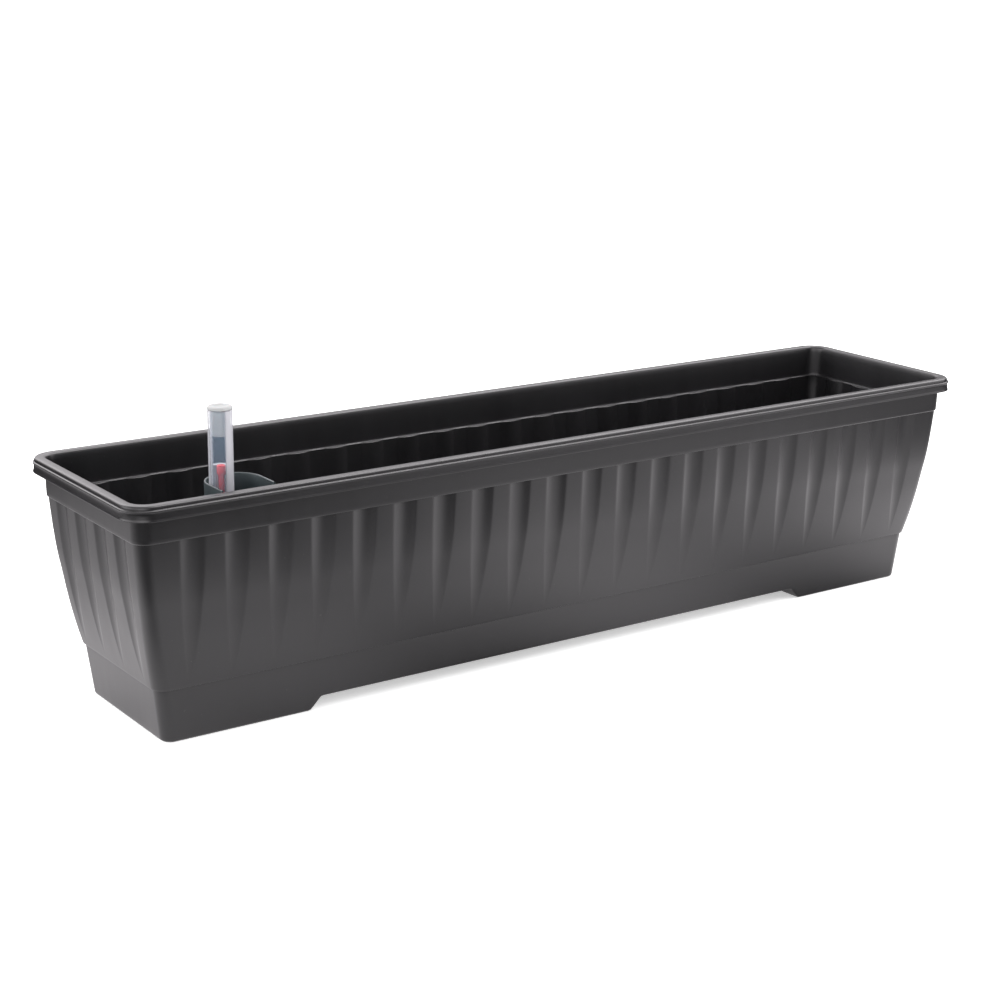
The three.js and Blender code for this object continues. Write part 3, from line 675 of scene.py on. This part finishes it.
def clear_tube():
    """Natural polypropylene tube: clear straight through, milky where the wall is seen edge on, with a painted
    highlight band down one side.
    """
    m, nt, p = new_mat("clear_tube_plastic")
    smear = noise(nt, coords(nt, (90, 90, 14)), 1.0, 4.0, 0.6)
    lw = nt.nodes.new("ShaderNodeLayerWeight")
    lw.inputs["Blend"].default_value = 0.5
    limb = span(nt, lw.outputs["Facing"], 0.20, 0.62, 0.0, 0.72)
    # painted highlight band: a milky-white stripe down the side towards +X and -Y, where the light falls, through both
    # faces of the wall
    side = nt.nodes.new("ShaderNodeVectorMath")
    side.operation = "DOT_PRODUCT"
    side.inputs[1].default_value = (0.818 / 0.009, -0.575 / 0.009, 0.0)
    nt.links.new(coords(nt), side.inputs[0])
    across = math_(nt, "ADD", side.outputs["Value"], (0.3084 * 0.818 - 0.048 * 0.575) / 0.009)
    highlight_band_pos = math_(nt, "ADD", across, math_(nt, "MULTIPLY", smear, 0.12))
    behind = nt.nodes.new("ShaderNodeVectorMath")
    behind.operation = "DOT_PRODUCT"
    behind.inputs[1].default_value = (0.575 / 0.009, 0.818 / 0.009, 0.0)
    nt.links.new(coords(nt), behind.inputs[0])
    depth = math_(nt, "ADD", behind.outputs["Value"], (0.3084 * 0.575 + 0.048 * 0.818) / 0.009)
    flow = math_(nt, "MULTIPLY", span(nt, highlight_band_pos, 0.46, 0.66, 0.0, 0.76), span(nt, depth, -0.15, 0.15, 1.0, 0.0))
    # milkiness where the wall is seen edge on, together with the painted highlight band
    milk_and_highlight = math_(nt, "MAXIMUM", limb, flow)
    blue = ramp(nt, smear, [(0.3, (0.34, 0.45, 0.60, 1)), (0.7, (0.44, 0.56, 0.72, 1))])
    white = ramp(nt, smear, [(0.3, (0.44, 0.44, 0.48, 1)), (0.7, (0.52, 0.51, 0.55, 1))])
    nt.links.new(mix_col(nt, span(nt, milk_and_highlight, 0.0, 0.5, 0.0, 1.0), blue, white), p.inputs["Base Color"])
    nt.links.new(span(nt, smear, 0.35, 0.7, 0.03, 0.10), p.inputs["Roughness"])
    thin = span(nt, smear, 0.3, 0.7, 0.07, 0.13)
    nt.links.new(math_(nt, "MAXIMUM", milk_and_highlight, thin), p.inputs["Alpha"])
    p.inputs["IOR"].default_value = 1.45
    ring_ = noise(nt, coords(nt, (20, 20, 260)), 1.0, 1.0)
    nt.links.new(bump(nt, ring_, 0.06, 0.0003), p.inputs["Normal"])
    return m


def backed_guide():
    """Guide tube: clear towards the viewing side, with a milky backing half behind the red pin."""
    m, nt, p = new_mat("backed_guide_plastic")
    n = noise(nt, coords(nt, (70, 70, 25)), 1.0, 4.0)
    nt.links.new(ramp(nt, n, [(0.3, (0.72, 0.75, 0.82, 1)), (0.7, (0.82, 0.84, 0.88, 1))]), p.inputs["Base Color"])
    nt.links.new(span(nt, n, 0.3, 0.7, 0.18, 0.3), p.inputs["Roughness"])
    d = nt.nodes.new("ShaderNodeVectorMath")
    d.operation = "DOT_PRODUCT"
    d.inputs[1].default_value = (0.575, 0.818, 0.0)
    nt.links.new(coords(nt), d.inputs[0])
    nt.links.new(span(nt, d.outputs["Value"], -0.2186, -0.2146, 0.07, 0.92), p.inputs["Alpha"])
    p.inputs["IOR"].default_value = 1.4
    return m


def milky(name, a, b, trans, rough, ior=1.45, sss=0.0, spec=0.5):
    m, nt, p = new_mat(name)
    v = coords(nt)
    n = noise(nt, coords(nt, (70, 70, 25)), 1.0, 4.0)
    nt.links.new(ramp(nt, n, [(0.3, a), (0.7, b)]), p.inputs["Base Color"])
    nt.links.new(span(nt, n, 0.3, 0.7, rough[0], rough[1]), p.inputs["Roughness"])
    p.inputs["Transmission Weight"].default_value = trans
    p.inputs["IOR"].default_value = ior
    p.inputs["Specular IOR Level"].default_value = spec
    if sss:
        p.inputs["Subsurface Weight"].default_value = sss
        p.inputs["Subsurface Scale"].default_value = 0.002
    f = noise(nt, v, 900.0, 2.0)
    nt.links.new(bump(nt, f, 0.06, 0.0002), p.inputs["Normal"])
    return m


M_tube = clear_tube()
M_sleeve = backed_guide()
M_cap = milky("white_polyethylene", (0.36, 0.362, 0.366, 1), (0.40, 0.402, 0.406, 1), 0.0, (0.44, 0.56), sss=0.05, spec=0.2)
M_red = milky("red_indicator_plastic", (0.86, 0.045, 0.06, 1), (0.94, 0.075, 0.09, 1), 0.0, (0.3, 0.42), sss=0.05)


def foam_mat():
    m, nt, p = new_mat("closed_cell_foam")
    v = coords(nt)
    vo = nt.nodes.new("ShaderNodeTexVoronoi")
    vo.inputs["Scale"].default_value = 900.0
    nt.links.new(v, vo.inputs["Vector"])
    nt.links.new(ramp(nt, vo.outputs["Distance"], [(0.0, (0.68, 0.67, 0.62, 1)), (0.6, (0.86, 0.85, 0.80, 1))]), p.inputs["Base Color"])
    p.inputs["Roughness"].default_value = 0.85
    nt.links.new(bump(nt, vo.outputs["Distance"], 0.6, 0.0003), p.inputs["Normal"])
    return m


def felt_mat():
    m, nt, p = new_mat("needled_felt")
    v = coords(nt, (1, 1, 1))
    a = noise(nt, coords(nt, (900, 3200, 900)), 1.0, 5.0, 0.7)
    b = noise(nt, coords(nt, (3200, 900, 3200)), 1.0, 5.0, 0.7)
    f = math_(nt, "ADD", math_(nt, "MULTIPLY", a, 0.5), math_(nt, "MULTIPLY", b, 0.5))
    col = ramp(nt, f, [(0.36, (0.34, 0.32, 0.28, 1)), (0.5, (0.56, 0.54, 0.49, 1)), (0.62, (0.74, 0.72, 0.67, 1))])
    damp = noise(nt, v, 60.0, 3.0)
    col = mix_col(nt, span(nt, damp, 0.5, 0.7, 0.0, 0.35), col, (0.30, 0.28, 0.24, 1))
    nt.links.new(col, p.inputs["Base Color"])
    p.inputs["Roughness"].default_value = 0.95
    p.inputs["Sheen Weight"].default_value = 0.3
    nt.links.new(bump(nt, f, 0.7, 0.0005), p.inputs["Normal"])
    return m


def rubber_mat():
    m, nt, p = new_mat("black_rubber")
    v = coords(nt)
    n = noise(nt, v, 140.0, 4.0)
    nt.links.new(ramp(nt, n, [(0.3, (0.010, 0.010, 0.010, 1)), (0.7, (0.024, 0.024, 0.024, 1))]), p.inputs["Base Color"])
    nt.links.new(span(nt, n, 0.3, 0.7, 0.6, 0.8), p.inputs["Roughness"])
    f = noise(nt, v, 1400.0, 2.0)
    nt.links.new(bump(nt, f, 0.15, 0.0002), p.inputs["Normal"])
    return m


M_foam, M_felt, M_rubber = foam_mat(), felt_mat(), rubber_mat()


def paint(ob, m):
    ob.data.materials.clear()
    ob.data.materials.append(m)


paint(trough, M_trough)
paint(channel, M_channel)
paint(tube, M_tube)
paint(cap, M_cap)
paint(sleeve, M_sleeve)
paint(foot, M_cap)
paint(pin, M_red)
paint(bob, M_foam)
for w, _ in wick_len.values():
    paint(w, M_felt)
for o in list(scene.objects):
    if o.name.startswith("plug_"):
        paint(o, M_rubber)

# the two halves of the false floor stay as they are in the frame, with softened edges
for n in ("false_floor_left", "false_floor_right"):
    o = frame["nodes"][n]
    for s in o.material_slots:
        s.material = M_insert
    b = o.modifiers.new("soft_edges", "BEVEL")
    b.width = 0.00045
    b.segments = 2
    b.limit_method = "ANGLE"
    b.angle_limit = math.radians(50)

# ------------------------------------------------------------------ stage, light, camera
bm = bmesh.new()
bmesh.ops.create_grid(bm, x_segments=2, y_segments=2, size=30.0)
floor = finish_mesh(bm, "studio_floor", 30)
m, nt, p = new_mat("studio_paper")
nn = noise(nt, coords(nt), 3.0, 2.0)
nt.links.new(ramp(nt, nn, [(0.0, (0.90, 0.90, 0.90, 1)), (1.0, (0.93, 0.93, 0.93, 1))]), p.inputs["Base Color"])
p.inputs["Roughness"].default_value = 0.9
p.inputs["Specular IOR Level"].default_value = 0.1
p.inputs["Emission Color"].default_value = (1.0, 1.0, 1.0, 1)
p.inputs["Emission Strength"].default_value = 0.45
paint(floor, m)

def card(ob):
    """A sheet of the studio that only shows in reflections."""
    for flag in ("visible_camera", "visible_diffuse", "visible_transmission", "visible_volume_scatter", "visible_shadow"):
        setattr(ob, flag, False)


def glow(name, build):
    m = bpy.data.materials.new(name)
    m.use_nodes = True
    nt = m.node_tree
    nt.nodes.clear()
    out = nt.nodes.new("ShaderNodeOutputMaterial")
    em = nt.nodes.new("ShaderNodeEmission")
    em.inputs["Strength"].default_value = 1.0
    nt.links.new(build(nt), em.inputs["Color"])
    nt.links.new(em.outputs[0], out.inputs["Surface"])
    m.cycles.emission_sampling = "NONE"
    return m


def vmath(nt, op, a, b=None):
    n = nt.nodes.new("ShaderNodeVectorMath")
    n.operation = op
    for k, q in enumerate((a, b)):
        if q is None:
            continue
        if isinstance(q, tuple):
            n.inputs[k].default_value = q
        else:
            nt.links.new(q, n.inputs[k])
    return n


def smoothstep(nt, v, a, b, c, d):
    n = nt.nodes.new("ShaderNodeMapRange")
    n.interpolation_type = "SMOOTHSTEP"
    for k, q in zip(("From Min", "From Max", "To Min", "To Max"), (a, b, c, d)):
        n.inputs[k].default_value = q
    nt.links.new(v, n.inputs["Value"])
    return n.outputs["Result"]


def tinted(nt, total, field, rgb):
    n = vmath(nt, "SCALE", rgb)
    nt.links.new(field, n.inputs["Scale"])
    return vmath(nt, "ADD", total, n.outputs["Vector"]).outputs["Vector"]


# soft patches of light around the room: azimuth, elevation, half-angle where it
# starts to fade, half-angle where it is gone, strength
DOME_BASE = (0.0, 0.0, 0.0)
DOME = [
    (-56, 12, 6, 20, (0.801, 0.773, 0.793)),
    (-30, 12, 6, 20, (2.594, 2.504, 2.568)),
    (60, 12, 6, 20, (0.48, 0.463, 0.475)),
    (80, 12, 6, 20, (0.943, 0.91, 0.933)),
    (100, 12, 6, 20, (1.224, 1.181, 1.212)),
    (150, 12, 6, 20, (2.976, 2.873, 2.947)),
    (-60, 36, 6, 22, (1.397, 1.348, 1.383)),
    (-30, 36, 6, 22, (0.948, 0.915, 0.938)),
    (0, 36, 6, 22, (3.247, 3.135, 3.215)),
    (30, 36, 6, 22, (3.412, 3.294, 3.378)),
    (60, 36, 6, 22, (2.299, 2.219, 2.276)),
    (90, 36, 6, 22, (4.341, 4.191, 4.298)),
    (120, 36, 6, 22, (2.768, 2.672, 2.741)),
    (-30, 60, 5, 18, (13.0, 12.6, 12.9)),
    (20, 60, 6, 24, (3.919, 3.783, 3.88)),
    (140, 60, 6, 24, (1.006, 0.971, 0.996)),
    (0, 88, 8, 26, (2.375, 2.293, 2.352)),
    (-130, 20, 10, 34, (3.621, 3.496, 3.586)),
    (175, 20, 10, 30, (3.729, 3.6, 3.692)),
]
# patches of lit table: x, y, radius where it starts to fade, radius where it is gone, strength
TABLE_BASE = (0.0, 0.0, 0.0)
TABLE = [
    (-0.25, -0.22, 0.05, 0.28, (1.69, 1.632, 1.673)),
    (0.1, -0.22, 0.05, 0.28, (2.053, 1.982, 2.033)),
    (0.45, -0.22, 0.05, 0.28, (2.309, 2.229, 2.286)),
    (0.3, -0.6, 0.1, 0.4, (1.178, 1.137, 1.166)),
    (0.8, -0.4, 0.1, 0.4, (0.226, 0.218, 0.224)),
    (1.0, -1.3, 0.3, 0.9, (2.479, 2.393, 2.454)),
    (-0.52, 0.02, 0.05, 0.28, (2.013, 1.943, 1.993)),
    (-0.55, 0.4, 0.08, 0.35, (0.812, 0.784, 0.804)),
    (-0.9, 0.3, 0.1, 0.5, (0.912, 0.88, 0.903)),
    (-0.25, 0.24, 0.05, 0.28, (1.717, 1.657, 1.7)),
    (0.1, 0.24, 0.05, 0.28, (1.919, 1.852, 1.9)),
    (0.45, 0.24, 0.05, 0.28, (2.02, 1.95, 2.0)),
    (0.56, 0.0, 0.05, 0.28, (1.919, 1.852, 1.9)),
    (0.2, 0.75, 0.1, 0.45, (0.909, 0.877, 0.9)),
    (0.95, 0.1, 0.1, 0.45, (0.909, 0.877, 0.9)),
]
# END OF LIGHT TABLES


def dome_glow(nt):
    tc = nt.nodes.new("ShaderNodeTexCoord")
    ray = vmath(nt, "NORMALIZE", tc.outputs["Object"]).outputs["Vector"]
    total = DOME_BASE
    for az, el, inner, outer, rgb in DOME:
        a, e = math.radians(az), math.radians(el)
        d = (math.cos(e) * math.cos(a), math.cos(e) * math.sin(a), math.sin(e))
        dot = vmath(nt, "DOT_PRODUCT", ray, d).outputs["Value"]
        total = tinted(nt, total, smoothstep(nt, dot, math.cos(math.radians(outer)), math.cos(math.radians(inner)), 0.0, 1.0), rgb)
    return vmath(nt, "ADD", total, (0.0, 0.0, 0.0)).outputs["Vector"]


def table_glow(nt):
    tc = nt.nodes.new("ShaderNodeTexCoord")
    total = TABLE_BASE
    for x, y, r0, r1, rgb in TABLE:
        d = vmath(nt, "DISTANCE", tc.outputs["Object"], (x, y, 0.0)).outputs["Value"]
        total = tinted(nt, total, smoothstep(nt, d, r0, r1, 1.0, 0.0), rgb)
    return vmath(nt, "ADD", total, (0.0, 0.0, 0.0)).outputs["Vector"]


bm = bmesh.new()
bmesh.ops.create_grid(bm, x_segments=1, y_segments=1, size=7.0)
table = finish_mesh(bm, "card_table", 30)
table.location = (0, 0, 0.0006)
paint(table, glow("card_table_light", table_glow))
card(table)
bm = bmesh.new()
bmesh.ops.create_uvsphere(bm, u_segments=48, v_segments=24, radius=6.5)
dome = finish_mesh(bm, "card_dome", 30)
paint(dome, glow("card_dome_light", dome_glow))
card(dome)

world = bpy.data.worlds.new("studio")
scene.world = world
world.use_nodes = True
wn = world.node_tree
bg = wn.nodes["Background"]
bg.inputs["Color"].default_value = (1.0, 1.0, 1.0, 1)
bg.inputs["Strength"].default_value = 1.15


def area(name, loc, aim, w, h, power, col=(1, 1, 1)):
    l = bpy.data.lights.new(name, "AREA")
    l.shape = "RECTANGLE"
    l.size, l.size_y = w, h
    l.energy = power
    l.color = col
    o = bpy.data.objects.new(name, l)
    scene.collection.objects.link(o)
    o.location = loc
    o.visible_glossy = False
    o.rotation_euler = (Vector(aim) - Vector(loc)).to_track_quat("-Z", "Y").to_euler()
    return o


area("soft_right", (1.9, -1.2, 1.1), (0.1, 0, 0.1), 1.6, 1.4, 30)
area("soft_back_left", (-1.7, 1.5, 0.9), (-0.2, 0, 0.1), 1.6, 1.2, 34)
area("soft_top", (0.2, 0.6, 2.4), (0, 0, 0.1), 2.4, 1.6, 30)

cam_data = bpy.data.cameras.new("camera")
cam = bpy.data.objects.new("camera", cam_data)
scene.collection.objects.link(cam)
cam_data.sensor_width = 36.0
cam_data.sensor_fit = "HORIZONTAL"
cam_data.lens = 36.0 * 2043.34 / 1000.0
cam_data.clip_start = 0.01
cam_data.clip_end = 200.0
pitch, yaw, roll = math.radians(15.657), math.radians(35.081), math.radians(0.7016)
fwd = Vector((math.sin(yaw) * math.cos(pitch), math.cos(yaw) * math.cos(pitch), -math.sin(pitch)))
right = Vector((math.cos(yaw), -math.sin(yaw), 0))
up = right.cross(fwd)
r2 = right * math.cos(roll) + up * math.sin(roll)
u2 = -right * math.sin(roll) + up * math.cos(roll)
rot = Matrix((r2, u2, -fwd)).transposed().to_4x4()
cam.matrix_world = Matrix.Translation((-0.95481, -1.31465, 0.56688)) @ rot
scene.camera = cam
bpy.context.scene.camera = cam

scene.view_settings.view_transform = "Standard"
scene.view_settings.look = "None"
